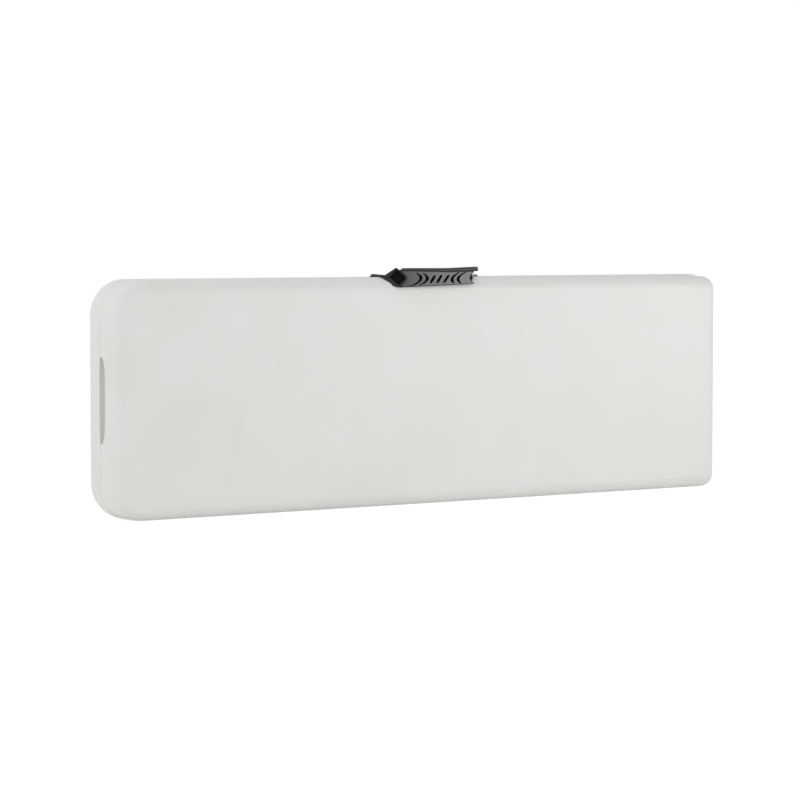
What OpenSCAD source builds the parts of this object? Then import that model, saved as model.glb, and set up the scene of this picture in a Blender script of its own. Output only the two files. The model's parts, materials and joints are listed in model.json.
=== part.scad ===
// Bi-fold bench, folded in half and standing on one long edge.
// Each half is drawn lying flat: x runs along the bench, y across the seat, and z is the depth
// from the seam between the halves (0) to the seat face. stand() turns a half up on its edge.

/* [Bench] */
// Length of the folded bench, from the outer end to the fold
folded_len = 915; // [880:5:950]
// Width of the seat
seat_w = 280; // [270:5:320]
// Thickness of one half, from the seam to the seat face
half_t = 35; // [35:0.5:37]
// Corner radius at the outer end
outer_corner_r = 43; // [36:1:48]
// Corner radius at the fold
fold_corner_r = 18; // [17.5:0.5:20]
// Radius of the edge all round the seat face
face_r = 16; // [12:0.5:17]
// Gap left between the two halves at the seam and at the fold
seam_gap = 0.3; // [0.2:0.05:0.4]

/* [Underside] */
// Width of the border along the long sides
side_border = 22; // [20:1:22]
// Width of the border at the outer end
outer_border = 30; // [27:1:32]
// Width of the border at the fold
fold_border = 22; // [20:1:24]
// Depth of the recess that the frame folds into
recess_depth = 23; // [23:0.5:24]
// Diameter of a kiss-off dimple at its mouth
dimple_d = 15; // [12:1:18]
// Spacing of the dimples along the bench
dimple_step = 74; // [70:1:80]

/* [Frame] */
// Outer diameter of the leg tubes
tube_d = 22; // [20:0.5:22]
// Wall of the tubes
tube_wall = 1.5; // [1.2:0.1:2]
// Width of a side rail
rail_w = 20; // [18:0.5:20]
// Sheet thickness of the rails
rail_t = 1.5; // [1.2:0.1:1.8]
// Distance of the leg pivot from the outer end
leg_inset = 85; // [80:1:95]
// Diameter of the rod that a leg swings on
rod_d = 12; // [10:0.5:12]
// Diameter of the pin in each bench hinge
hinge_pin_d = 8; // [6:0.5:8]

/* [Brace] */
// Distance along the half from the leg pivot to the brace anchor
anchor_reach = 300; // [280:5:310]
// Height of the brace bars, measured across their faces
strut_h = 8.6; // [8:0.1:8.6]
// Thickness of the brace bars
strut_t = 3; // [2.5:0.25:3.25]
// Diameter of the bar on the leg that the brace pulls on
brace_bar_d = 8; // [7:0.5:8]
// Length of the lock ring
ring_len = 14; // [10:1:16]

/* [Handle] */
// Distance between the two handle pivots
handle_span = 154; // [150:1:158]
// Length of the grip plate between its corners
grip_len = 124; // [118:1:126]
// Height of the grip plate
grip_h = 23; // [20:1:24]
// Thickness of the grip plate
grip_t = 5; // [4:0.5:6]
// Number of slots in the grip
grip_slots = 7; // [5:2:7]

/* [Hidden] */
$fn = 64;
cut = 1;                 // how far a cutter runs past the face it opens
fit = 0.1;               // clearance of a pin in its bearing, on the radius
seam = seam_gap / 2;
fold_x = folded_len / 2;
outer_x = -fold_x;
panel_end = fold_x - seam_gap;
panel_t = half_t - seam;

// Recess in the underside
recess_r = 24;
recess_fold_r = 8;
arc_steps = 10;
dimple_rows = 3;
dimple_cols = 10;
dimple_depth = 7;
dimple_taper = 0.7;
dimple_row_gap = 52;
dimple_inset = 108;
dimple_start = outer_x + dimple_inset;

// Finger notch at the outer end
notch_len = 101;
notch_mid = 140;
notch_depth = 11;
front_bite = 12;
rear_bite = 3;

// Side rails
rail_gap = 2;
rail_y = side_border + rail_gap;
rail_depth = 20;
rail_floor = recess_depth;
rail_seam = rail_floor - rail_depth;
rail_outer_inset = 52;
rail_fold_inset = 28;
rail_start = outer_x + rail_outer_inset;
rail_end = fold_x - rail_fold_inset;
rail_screw_d = 5;
rail_screw_head_d = 9;
rail_screw_head_h = 2.5;
rail_screw_bite = 8;
rail_screw_count = 4;
rail_screw_inset = 60;
rail_screw_step = (rail_end - rail_start - 2 * rail_screw_inset) / (rail_screw_count - 1);

// Leg
leg_x = outer_x + leg_inset;
leg_z = 11.8;
leg_spare = 5;
leg_reach = (fold_x - leg_x) / 2 - leg_spare;
foot_plate = 5;
foot_plug = 16;
bush_flange = 1.5;
bush_gap = 0.5;
bush_len = 12;
bush_end = rail_y + rail_w + bush_gap;
upright_y = bush_end + bush_flange + tube_d / 2;
cross_back = 40;
rod_overhang = 1.5;

// Brace, worked out so that it is straight when the leg stands square to the half
brace_bar_z = 6.8;
strut_z = 16;
brace_arm = anchor_reach / 2;
anchor_drop = strut_z - leg_z;
bar_rise = brace_bar_z - leg_z;
brace_straight = norm([anchor_reach - bar_rise, anchor_drop + brace_arm]);
brace_rise = bar_rise - anchor_drop;
brace_spare = brace_straight - (anchor_reach - brace_arm);
knee_back = (brace_spare * brace_spare - brace_rise * brace_rise) / (2 * brace_spare);
anchor_x = leg_x + anchor_reach;
bar_x = leg_x + brace_arm;
knee_x = bar_x - knee_back;
mid_y = seat_w / 2;
strut_gap = 1.2;
strut_relief = 0.6;
strut_waist = strut_h - strut_relief;
frame_strut_y = mid_y - strut_gap / 2 - strut_t;
leg_strut_y = mid_y + strut_gap / 2;
strut_pin_d = 4;
strut_head_d = 7.4;
strut_head_h = 1.2;
bar_eye_d = 12.6;
collar_d = 12;
collar_w = 2;
low_collar_d = 9.4;
low_collar_w = 1;
ring_wall = 2;
ring_fit = 0.3;
ring_park = 116;
ring_rest_x = anchor_x - ring_park;

// Brace anchor
anchor_plate_t = 1.5;
anchor_len = 26;
anchor_w = 40;
ear_t = 2;
ear_h = 9;
anchor_screw_d = 4;
anchor_screw_head_d = 7.5;
anchor_screw_head_h = 2;
anchor_screw_bite = 7;
anchor_screw_y = 14;
anchor_screw_x = 6;

// Bench hinges
hinge_plate_t = 3;
hinge_plate_gap = 0.4;
hinge_plate_len = 34;
hinge_weld_z = 5;
hinge_weld_h = 14;
hinge_eye_d = 16;
hinge_neck = 6;
hinge_y = rail_y + rail_w;
hinge_head_d = 13;
hinge_head_h = 3.5;
hinge_nut_d = 14;
hinge_nut_h = 5;
hinge_nut_gap = 0.2;
hinge_head_gap = 1;
hinge_notch_h = 19;
hinge_notch_z = 17;
hinge_stack = 2 * hinge_plate_t + hinge_plate_gap;

// Carry handle, drawn where it lies: x along the bench, y is the height, z the depth from the seam
handle_pin_drop = 1.5;
handle_pin_y = seat_w - handle_pin_drop;
handle_pin_z = 5.5;
handle_pin_d = 3;
eye_x = handle_span / 2;
eye_w = 5;
eye_d = 9;
elbow_z = 10;
arm_gap = 0.4;
arm_h = 4.4;
arm_foot = seat_w + arm_gap;
arm_lean = 5;
arm_mid_z = 24;
arm_mid_h = 7;
arm_slice = 0.5;
grip_gap = 2;
grip_drop = 12;
grip_z = half_t + grip_gap;
grip_y = seat_w - grip_drop;
grip_half = grip_len / 2;
end_notch = 13;
flare_notch = 17;
flare_bulge = 2;
flare_t = 2;
horn_rise = 1.4;
horn_len = 5;
chin_len = 12;
chin_rise = 0.5;
chin_in = 1;
rim_d = 5;
rim_inset = 6;
rim_drop = 2.2;
rim_sink = 1;
rim_y = grip_y + grip_h - rim_drop;
slot_w = 4;
slot_depth = 4;
slot_steps = 6;
slot_spacing = 9.6;
slot_lean = 3.6;
slot_bow = 7.3;
slot_half_h = 4;
slot_growth = 0.4;
slot_drop = 1.2;

// Handle brackets, let into the top edge of the front half
bracket_t = 2;
bracket_drop = 14;
bracket_floor = seat_w - bracket_drop;
bracket_len = 20;
bracket_in = 5;
lug_t = 1.8;
lug_gap = 0.4;
lug_d = 5.2;
bracket_screw_d = 4;
bracket_screw_head_d = 6.6;
bracket_screw_head_h = 2;
bracket_screw_bite = 5.5;
bracket_screw_x = 15;
pocket_gap = 0.5;
pocket_z = elbow_z + 1;

WHITE = "#E4E4E0";
STEEL_GREY = "#8C9194";
ZINC = "#B9BDC0";
BLACK = "#242526";

SIDES = ["front", "rear"];

// ---- Placing ----

// Stands a flat half up on its edge, on its own side of the seam
module stand(side) {
  mirror([0, side == "rear" ? 1 : 0, 0]) rotate([90, 0, 0]) children();
}

// Draws its children at the lower edge and mirrored at the upper edge
module both_edges() {
  children();
  translate([0, seat_w, 0]) mirror([0, 1, 0]) children();
}

// Draws its children to the right and mirrored to the left of the middle
module both_ends() {
  children();
  mirror([1, 0, 0]) children();
}

// A cylinder along y, starting at the height y
module across(x, y, z, d, length) {
  translate([x, y, z]) rotate([-90, 0, 0]) cylinder(d = d, h = length);
}

// ---- Seat panel ----

// Half a seat edge: flat inside, with the wall at reach and rounded up to the seat face
module edge_section(reach) {
  square([reach - face_r, panel_t]);
  square([reach, panel_t - face_r]);
  translate([reach - face_r, panel_t - face_r]) intersection() {
    circle(face_r);
    square(face_r);
  }
}

// A straight edge of the slab that runs back from its start, with the wall on the +x side
module edge_strip(at, reach, length, turn) {
  translate([at.x, at.y, seam]) rotate([0, 0, turn]) rotate([90, 0, 0])
    linear_extrude(length) edge_section(reach);
}

// A quarter-round corner of the slab
module edge_corner(at, reach, turn) {
  translate([at.x, at.y, seam]) rotate([0, 0, turn])
    rotate_extrude(angle = 90) edge_section(reach);
}

module slab() {
  left = outer_x + outer_corner_r;
  right = panel_end - fold_corner_r;
  middle_w = seat_w - 2 * fold_corner_r;
  outer_w = seat_w - 2 * outer_corner_r;
  lap = (fold_corner_r - face_r) / 2; // the middle reaches into its edges, so that they are one
  translate([left - lap, fold_corner_r - lap, seam])
    cube([right - left + 2 * lap, middle_w + 2 * lap, panel_t]);
  edge_strip([right, seat_w - fold_corner_r], fold_corner_r, middle_w, 0);
  edge_strip([left, seat_w - fold_corner_r], fold_corner_r, right - left, 90);
  edge_strip([left, outer_corner_r], outer_corner_r, outer_w, 180);
  edge_strip([right, fold_corner_r], fold_corner_r, right - left, 270);
  edge_corner([right, seat_w - fold_corner_r], fold_corner_r, 0);
  edge_corner([left, seat_w - outer_corner_r], outer_corner_r, 90);
  edge_corner([left, outer_corner_r], outer_corner_r, 180);
  edge_corner([right, fold_corner_r], fold_corner_r, 270);
}

// Points of a quarter arc about a centre, from the angle start on
function arc_points(x, y, r, start) = [
  for (i = [0 : arc_steps]) let (turn = start + 90 * i / arc_steps) [x + r * cos(turn), y + r * sin(turn)]
];

module recess() {
  left = outer_x + outer_border;
  right = fold_x - fold_border;
  low = side_border;
  high = seat_w - side_border;
  translate([0, 0, -cut]) linear_extrude(recess_depth + cut) polygon(concat(
    arc_points(right - recess_fold_r, high - recess_fold_r, recess_fold_r, 0),
    arc_points(left + recess_r, high - recess_r, recess_r, 90),
    arc_points(left + recess_r, low + recess_r, recess_r, 180),
    arc_points(right - recess_fold_r, low + recess_fold_r, recess_fold_r, 270)
  ));
}

// Kiss-off dimples that tie the two skins of the moulding together
module dimples() {
  for (col = [0 : dimple_cols - 1], row = [0 : dimple_rows - 1]) {
    x = dimple_start + col * dimple_step;
    y = mid_y + (row - (dimple_rows - 1) / 2) * dimple_row_gap;
    if (abs(y - mid_y) > anchor_w / 2 || abs(x - anchor_x) > anchor_len)
      translate([x, y, recess_depth - cut])
        cylinder(d1 = dimple_d, d2 = dimple_d * dimple_taper, h = dimple_depth + cut);
  }
}

// Lens-shaped finger notch in the outer end, as deep as bite at the seam
module finger_notch(bite) {
  lens_r = (notch_len * notch_len / 4 + bite * bite) / (2 * bite);
  translate([outer_x - cut, notch_mid, bite - lens_r]) rotate([0, 90, 0])
    cylinder(r = lens_r, h = notch_depth + cut, $fn = 180);
}

// Room in the fold-end border for one bench hinge
module hinge_notch() {
  translate([fold_x - fold_border - cut, hinge_y - hinge_head_h - hinge_head_gap, -cut])
    cube([fold_border + 2 * cut, hinge_notch_h, hinge_notch_z + cut]);
}

// Room in the top edge for a handle bracket and the eye that it carries
module handle_pocket() {
  translate([eye_x - bracket_in - pocket_gap, bracket_floor, -cut])
    cube([bracket_len + 2 * pocket_gap, seat_w - bracket_floor + cut, pocket_z + cut]);
}

module seat_panel(side) {
  color(WHITE) stand(side) difference() {
    slab();
    recess();
    dimples();
    finger_notch(side == "front" ? front_bite : rear_bite);
    both_edges() hinge_notch();
    both_edges() rail_screw_shanks();
    anchor_screw_shanks();
    if (side == "front") {
      both_ends() handle_pocket();
      both_ends() bracket_screw_shank();
    }
  }
}

// ---- Frame fixed to a half ----

// One side rail, a channel open towards the seam
module rail() {
  difference() {
    translate([rail_start, rail_y, rail_seam]) cube([rail_end - rail_start, rail_w, rail_depth]);
    translate([rail_start - cut, rail_y + rail_t, rail_seam - cut])
      cube([rail_end - rail_start + 2 * cut, rail_w - 2 * rail_t, rail_depth - rail_t + cut]);
    across(leg_x, rail_y - cut, leg_z, rod_d, rail_w + 2 * cut);
    rail_screw_shanks();
  }
}

function rail_screw_at(i) = rail_start + rail_screw_inset + i * rail_screw_step;

module rail_screw_shanks() {
  for (i = [0 : rail_screw_count - 1])
    translate([rail_screw_at(i), rail_y + rail_w / 2, rail_floor - rail_t])
      cylinder(d = rail_screw_d, h = rail_t + rail_screw_bite);
}

module rail_screws(side) {
  color(ZINC) stand(side) both_edges() {
    rail_screw_shanks();
    for (i = [0 : rail_screw_count - 1])
      translate([rail_screw_at(i), rail_y + rail_w / 2, rail_floor - rail_t - rail_screw_head_h])
        cylinder(d1 = rail_screw_head_d - 2, d2 = rail_screw_head_d, h = rail_screw_head_h);
  }
}

module lower_rail(side) {
  color(STEEL_GREY) stand(side) rail();
}

module upper_rail(side) {
  color(STEEL_GREY) stand(side) translate([0, seat_w, 0]) mirror([0, 1, 0]) rail();
}

// Hinge plate welded to the rail, with its eye on the fold axis. The front plate sits one plate further in.
module hinge_plate(side) {
  tongue_y = hinge_y + (side == "front" ? hinge_plate_t + hinge_plate_gap : 0);
  weld_t = side == "front" ? hinge_stack : hinge_plate_t;
  eye_r = hinge_eye_d / 2;
  foot_x = rail_end - hinge_plate_len;
  difference() {
    union() {
      translate([foot_x, hinge_y, hinge_weld_z]) cube([hinge_plate_len, weld_t, hinge_weld_h]);
      translate([0, tongue_y + hinge_plate_t, 0]) rotate([90, 0, 0]) linear_extrude(hinge_plate_t) polygon([
        [foot_x, hinge_weld_z], [rail_end - hinge_neck, hinge_weld_z], [fold_x - hinge_neck, 0], [fold_x, 0],
        [fold_x, eye_r], [fold_x - hinge_neck, eye_r], [rail_end, hinge_weld_z + hinge_weld_h],
        [foot_x, hinge_weld_z + hinge_weld_h]
      ]);
      across(fold_x, tongue_y, 0, hinge_eye_d, hinge_plate_t);
    }
    across(fold_x, tongue_y - cut, 0, hinge_pin_d + (side == "front" ? 2 * fit : 0), hinge_plate_t + 2 * cut);
  }
}

module hinge_plates(side) {
  color(STEEL_GREY) stand(side) both_edges() hinge_plate(side);
}

module hinge_bolts() {
  color(ZINC) stand("rear") both_edges() {
    across(fold_x, hinge_y, 0, hinge_pin_d, hinge_stack + hinge_nut_h);
    across(fold_x, hinge_y - hinge_head_h, 0, hinge_head_d, hinge_head_h);
  }
}

module hinge_nuts() {
  color(ZINC) stand("rear") both_edges() difference() {
    translate([fold_x, hinge_y + hinge_stack + hinge_nut_gap, 0]) rotate([-90, 0, 0])
      cylinder(d = hinge_nut_d, h = hinge_nut_h - hinge_nut_gap, $fn = 6);
    across(fold_x, hinge_y + hinge_stack, 0, hinge_pin_d, hinge_nut_h + cut);
  }
}

// ---- Leg ----

module leg_rod(side) {
  color(ZINC) stand(side)
    across(leg_x, rail_y - rod_overhang, leg_z, rod_d, seat_w - 2 * (rail_y - rod_overhang));
}

module leg_pivot_tube(side) {
  start = bush_end + bush_flange;
  color(STEEL_GREY) stand(side) difference() {
    across(leg_x, start, leg_z, tube_d, seat_w - 2 * start);
    across(leg_x, start - cut, leg_z, tube_d - 2 * tube_wall, seat_w - 2 * start + 2 * cut);
  }
}

module leg_bushes(side) {
  color(BLACK) stand(side) both_edges() difference() {
    union() {
      across(leg_x, bush_end, leg_z, tube_d, bush_flange);
      across(leg_x, bush_end + bush_flange, leg_z, tube_d - 2 * tube_wall, bush_len);
    }
    across(leg_x, bush_end - cut, leg_z, rod_d + 2 * fit, bush_flange + bush_len + 2 * cut);
  }
}

// A round tube or rod along x
module along(x, y, z, d, length) {
  translate([x, y, z]) rotate([0, 90, 0]) cylinder(d = d, h = length);
}

// An upright, coped round the pivot tube at one end
module upright() {
  length = leg_reach - foot_plate;
  difference() {
    along(leg_x, upright_y, leg_z, tube_d, length);
    along(leg_x - cut, upright_y, leg_z, tube_d - 2 * tube_wall, length + 2 * cut);
    across(leg_x, upright_y - tube_d, leg_z, tube_d, 2 * tube_d);
    across(bar_x, upright_y, brace_bar_z, brace_bar_d, tube_d);
  }
}

module lower_upright(side) {
  color(STEEL_GREY) stand(side) upright();
}

module upper_upright(side) {
  color(STEEL_GREY) stand(side) translate([0, seat_w, 0]) mirror([0, 1, 0]) upright();
}

// Cross tube near the feet, coped round both uprights
module leg_cross_tube(side) {
  x = leg_x + leg_reach - cross_back;
  length = seat_w - 2 * upright_y;
  color(STEEL_GREY) stand(side) difference() {
    across(x, upright_y, leg_z, tube_d, length);
    across(x, upright_y - cut, leg_z, tube_d - 2 * tube_wall, length + 2 * cut);
    both_edges() along(x - tube_d, upright_y, leg_z, tube_d, 2 * tube_d);
  }
}

module feet(side) {
  x = leg_x + leg_reach;
  color(BLACK) stand(side) both_edges() {
    along(x - foot_plate, upright_y, leg_z, tube_d, foot_plate);
    along(x - foot_plate - foot_plug, upright_y, leg_z, tube_d - 2 * tube_wall, foot_plug);
  }
}

// Bar between the uprights, with two collars that keep the brace in the middle
module brace_bar(side) {
  hole_d = tube_d - 2 * tube_wall;
  color(STEEL_GREY) stand(side) difference() {
    union() {
      across(bar_x, upright_y, brace_bar_z, brace_bar_d, seat_w - 2 * upright_y);
      across(bar_x, leg_strut_y - low_collar_w - fit, brace_bar_z, low_collar_d, low_collar_w);
      across(bar_x, leg_strut_y + strut_t + fit, brace_bar_z, collar_d, collar_w);
    }
    both_edges() along(bar_x - tube_d, upright_y, leg_z, hole_d, 2 * tube_d);
  }
}

// ---- Brace ----

// A flat bar with round ends and a hole at each end, on the y side of the given height
module strut(from_x, to_x, y, from_hole, to_hole) {
  difference() {
    union() {
      across(from_x, y, strut_z, strut_h, strut_t);
      across(to_x, y, strut_z, strut_h, strut_t);
      translate([from_x, y, strut_z - strut_h / 2]) cube([to_x - from_x, strut_t, strut_h]);
    }
    across(from_x, y - cut, strut_z, from_hole, strut_t + 2 * cut);
    across(to_x, y - cut, strut_z, to_hole, strut_t + 2 * cut);
  }
}

module frame_strut(side) {
  color(ZINC) stand(side)
    strut(knee_x, anchor_x, frame_strut_y, strut_pin_d, strut_pin_d + 2 * fit);
}

// The knee is the pivot where the linkage is opened, so its rivet ends inside the frame strut's side
module knee_rivet(side) {
  color(ZINC) stand(side) {
    across(knee_x, frame_strut_y, strut_z, strut_pin_d, strut_t);
    across(knee_x, frame_strut_y - strut_head_h, strut_z, strut_head_d, strut_head_h);
  }
}

module leg_strut(side) {
  lean = atan2(brace_bar_z - strut_z, bar_x - knee_x);
  length = norm([bar_x - knee_x, brace_bar_z - strut_z]);
  color(ZINC) stand(side) difference() {
    union() {
      translate([knee_x, leg_strut_y, strut_z]) rotate([0, -lean, 0])
        translate([0, 0, -strut_waist / 2]) cube([length, strut_t, strut_waist]);
      across(knee_x, leg_strut_y, strut_z, strut_h, strut_t);
      across(bar_x, leg_strut_y, brace_bar_z, bar_eye_d, strut_t);
    }
    across(knee_x, leg_strut_y - cut, strut_z, strut_pin_d + 2 * fit, strut_t + 2 * cut);
    across(bar_x, leg_strut_y - cut, brace_bar_z, brace_bar_d + 2 * fit, strut_t + 2 * cut);
  }
}

module lock_ring(side) {
  inside_y = 2 * (strut_t + strut_head_h) + strut_gap + 2 * ring_fit;
  inside_z = strut_h + 2 * ring_fit;
  color(ZINC) stand(side) translate([ring_rest_x - ring_len / 2, mid_y, strut_z]) difference() {
    translate([0, -inside_y / 2 - ring_wall, -inside_z / 2 - ring_wall])
      cube([ring_len, inside_y + 2 * ring_wall, inside_z + 2 * ring_wall]);
    translate([-cut, -inside_y / 2, -inside_z / 2])
      cube([ring_len + 2 * cut, inside_y, inside_z]);
  }
}

// Bracket on the recess floor, with two ears that hold the frame strut's pivot
module brace_anchor(side) {
  ear_top = recess_depth - anchor_plate_t;
  color(STEEL_GREY) stand(side) difference() {
    union() {
      translate([anchor_x - anchor_len / 2, mid_y - anchor_w / 2, ear_top])
        cube([anchor_len, anchor_w, anchor_plate_t]);
      for (y = [frame_strut_y - fit - ear_t, frame_strut_y + strut_t + fit]) {
        across(anchor_x, y, strut_z, ear_h, ear_t);
        translate([anchor_x - ear_h / 2, y, strut_z]) cube([ear_h, ear_t, ear_top - strut_z]);
      }
    }
    across(anchor_x, frame_strut_y - ear_t - cut, strut_z, strut_pin_d, strut_t + 2 * ear_t + 2 * cut);
    anchor_screw_shanks();
  }
}

module anchor_rivet(side) {
  ear_start = frame_strut_y - fit - ear_t;
  ears = strut_t + 2 * (fit + ear_t);
  color(ZINC) stand(side) {
    across(anchor_x, ear_start, strut_z, strut_pin_d, ears);
    across(anchor_x, ear_start - strut_head_h, strut_z, strut_head_d, strut_head_h);
    across(anchor_x, ear_start + ears, strut_z, strut_head_d, strut_head_h);
  }
}

module anchor_screw_places() {
  for (side_x = [-1, 1], side_y = [-1, 1])
    translate([anchor_x + side_x * anchor_screw_x, mid_y + side_y * anchor_screw_y, 0]) children();
}

module anchor_screw_shanks() {
  anchor_screw_places() translate([0, 0, recess_depth - anchor_plate_t])
    cylinder(d = anchor_screw_d, h = anchor_plate_t + anchor_screw_bite);
}

module anchor_screws(side) {
  color(ZINC) stand(side) {
    anchor_screw_shanks();
    anchor_screw_places() translate([0, 0, recess_depth - anchor_plate_t - anchor_screw_head_h])
      cylinder(d1 = anchor_screw_head_d - 2, d2 = anchor_screw_head_d, h = anchor_screw_head_h);
  }
}

// ---- Carry handle ----

// Outline of the grip plate: a horn at each upper corner and a notch in each end
module grip_outline() {
  polygon([
    [-grip_half, grip_h + horn_rise], [-grip_half + horn_len, grip_h],
    [grip_half - horn_len, grip_h], [grip_half, grip_h + horn_rise],
    [grip_half - end_notch, grip_h / 2], [grip_half - chin_in, chin_rise],
    [grip_half - chin_len, 0], [-grip_half + chin_len, 0],
    [-grip_half + chin_in, chin_rise], [-grip_half + end_notch, grip_h / 2]
  ]);
}

// Centre line of a grip slot: t runs from -1 at the foot to 1 at the top, and the outer slots bow inwards
function slot_x(place, t) =
  place * slot_spacing + slot_lean * t
  + sign(place) * slot_bow * sqrt(max(abs(place) - 1, 0)) * t * t;
function slot_y(place, t) = grip_h / 2 - slot_drop + t * (slot_half_h + slot_growth * place * place);
function slot_side(place, shift) =
  [for (i = [0 : slot_steps]) let (t = 2 * i / slot_steps - 1) [slot_x(place, t) + shift, slot_y(place, t)]];

module grip_slot(place) {
  up = slot_side(place, slot_w / 2);
  down = slot_side(place, -slot_w / 2);
  polygon(concat(up, [for (i = [slot_steps : -1 : 0]) down[i]]));
}

module grip() {
  difference() {
    translate([0, grip_y, grip_z]) linear_extrude(grip_t) grip_outline();
    translate([0, grip_y, grip_z + grip_t - slot_depth]) linear_extrude(slot_depth + cut)
      for (i = [0 : grip_slots - 1]) grip_slot(i - (grip_slots - 1) / 2);
  }
  translate([-grip_half + rim_inset, rim_y, grip_z + grip_t - rim_sink]) rotate([0, 90, 0])
    cylinder(d = rim_d, h = grip_len - 2 * rim_inset);
}

module arm_slice_at(x, y, z, h) {
  translate([x - eye_w / 2, y, z]) cube([eye_w, h, arm_slice]);
}

// One arm: out of the eye, over the rounded top edge, and flaring out to the grip's notched end
module arm() {
  hull() {
    arm_slice_at(eye_x, handle_pin_y, handle_pin_z, eye_d / 2);
    arm_slice_at(eye_x, arm_foot, elbow_z, arm_h);
  }
  hull() {
    arm_slice_at(eye_x, arm_foot, elbow_z, arm_h);
    arm_slice_at(eye_x - arm_lean, arm_foot + arm_h - arm_mid_h, arm_mid_z, arm_mid_h);
  }
  hull() {
    arm_slice_at(eye_x - arm_lean, arm_foot + arm_h - arm_mid_h, arm_mid_z, arm_mid_h);
    translate([0, grip_y, grip_z - flare_t]) linear_extrude(flare_t) polygon([
      [grip_half, grip_h + horn_rise], [grip_half - flare_notch, grip_h / 2],
      [grip_half - chin_in, chin_rise], [grip_half + flare_bulge, grip_h / 2]
    ]);
  }
}

// The rounded top edge of the front half and the clearance of the arms over it
module arm_room() {
  edge_y = seat_w - face_r;
  edge_z = half_t - face_r;
  translate([-handle_span, edge_y, edge_z]) rotate([0, 90, 0])
    cylinder(r = face_r + arm_gap, h = 2 * handle_span, $fn = 128);
  translate([-handle_span, 0, elbow_z]) cube([2 * handle_span, arm_foot, edge_z - elbow_z]);
  translate([-handle_span, 0, edge_z - cut]) cube([2 * handle_span, edge_y, face_r + arm_gap + cut]);
}

module carry_handle() {
  color(BLACK) stand("front") difference() {
    union() {
      grip();
      both_ends() {
        arm();
        handle_eye();
      }
    }
    arm_room();
    both_ends() handle_pin_bore();
  }
}

module handle_eye() {
  translate([eye_x - eye_w / 2, handle_pin_y, handle_pin_z]) rotate([0, 90, 0])
    cylinder(d = eye_d, h = eye_w);
}

module handle_pin_bore() {
  translate([eye_x - eye_w, handle_pin_y, handle_pin_z]) rotate([0, 90, 0])
    cylinder(d = handle_pin_d + 2 * fit, h = 2 * eye_w);
}

module handle_pin() {
  start = eye_x - eye_w / 2 - lug_gap - lug_t;
  translate([start, handle_pin_y, handle_pin_z]) rotate([0, 90, 0])
    cylinder(d = handle_pin_d, h = eye_w + 2 * (lug_gap + lug_t));
}

module handle_pins() {
  color(ZINC) stand("front") both_ends() handle_pin();
}

module handle_bracket() {
  lug_x = eye_x - eye_w / 2 - lug_gap - lug_t;
  difference() {
    union() {
      translate([eye_x - bracket_in, bracket_floor, handle_pin_z - lug_d / 2])
        cube([bracket_len, bracket_t, lug_d]);
      for (x = [lug_x, eye_x + eye_w / 2 + lug_gap]) {
        translate([x, bracket_floor, handle_pin_z - lug_d / 2])
          cube([lug_t, handle_pin_y - bracket_floor, lug_d]);
        translate([x, handle_pin_y, handle_pin_z]) rotate([0, 90, 0]) cylinder(d = lug_d, h = lug_t);
      }
    }
    handle_pin();
    bracket_screw_shank();
  }
}

module handle_brackets() {
  color(BLACK) stand("front") both_ends() handle_bracket();
}

module bracket_screw_shank() {
  across(eye_x - bracket_in + bracket_screw_x, bracket_floor - bracket_screw_bite, handle_pin_z,
    bracket_screw_d, bracket_screw_bite + bracket_t);
}

module bracket_screws() {
  color(ZINC) stand("front") both_ends() {
    bracket_screw_shank();
    across(eye_x - bracket_in + bracket_screw_x, bracket_floor + bracket_t, handle_pin_z,
      bracket_screw_head_d, bracket_screw_head_h);
  }
}

// ---- Every node ----

for (side = SIDES) {
  seat_panel(side);
  lower_rail(side);
  upper_rail(side);
  rail_screws(side);
  hinge_plates(side);
  leg_rod(side);
  leg_pivot_tube(side);
  leg_bushes(side);
  lower_upright(side);
  upper_upright(side);
  leg_cross_tube(side);
  feet(side);
  brace_bar(side);
  brace_anchor(side);
  anchor_screws(side);
  anchor_rivet(side);
  frame_strut(side);
  knee_rivet(side);
  leg_strut(side);
  lock_ring(side);
}
hinge_bolts();
hinge_nuts();
carry_handle();
handle_brackets();
handle_pins();
bracket_screws();
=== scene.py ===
# Bi-fold bench, folded in half and standing on one long edge: the looks around the CAD part.
import json
import math

import bmesh
import bpy
from mathutils import Matrix, Vector
from mathutils.bvhtree import BVHTree


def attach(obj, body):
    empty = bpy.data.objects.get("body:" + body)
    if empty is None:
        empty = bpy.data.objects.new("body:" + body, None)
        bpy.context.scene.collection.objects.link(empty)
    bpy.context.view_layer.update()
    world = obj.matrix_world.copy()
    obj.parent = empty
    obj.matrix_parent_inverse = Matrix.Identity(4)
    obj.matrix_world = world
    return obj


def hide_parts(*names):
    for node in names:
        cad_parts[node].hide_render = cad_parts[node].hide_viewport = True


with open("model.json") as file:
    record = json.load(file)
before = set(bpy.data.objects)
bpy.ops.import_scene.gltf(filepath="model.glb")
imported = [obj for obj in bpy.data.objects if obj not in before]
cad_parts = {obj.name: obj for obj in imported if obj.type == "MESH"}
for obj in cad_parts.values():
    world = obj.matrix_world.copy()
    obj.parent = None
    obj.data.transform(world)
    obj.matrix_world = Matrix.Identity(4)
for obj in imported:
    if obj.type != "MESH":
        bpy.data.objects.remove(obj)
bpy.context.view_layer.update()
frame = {"nodes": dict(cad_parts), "record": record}
NODES = frame["nodes"]
MM = 0.001

# ---- Camera, settled by the image points ----

W, H = 800, 788
LONG_SIDE = max(W, H)
CAMERA_TURN = math.radians(35.3)
CAMERA_RISE = math.radians(2.97)
CAMERA_AWAY = 3.717
CAMERA_AIM = Vector((-0.033, 0.0, 0.135))
LENS = 135.2
SENSOR = 36.0

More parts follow.
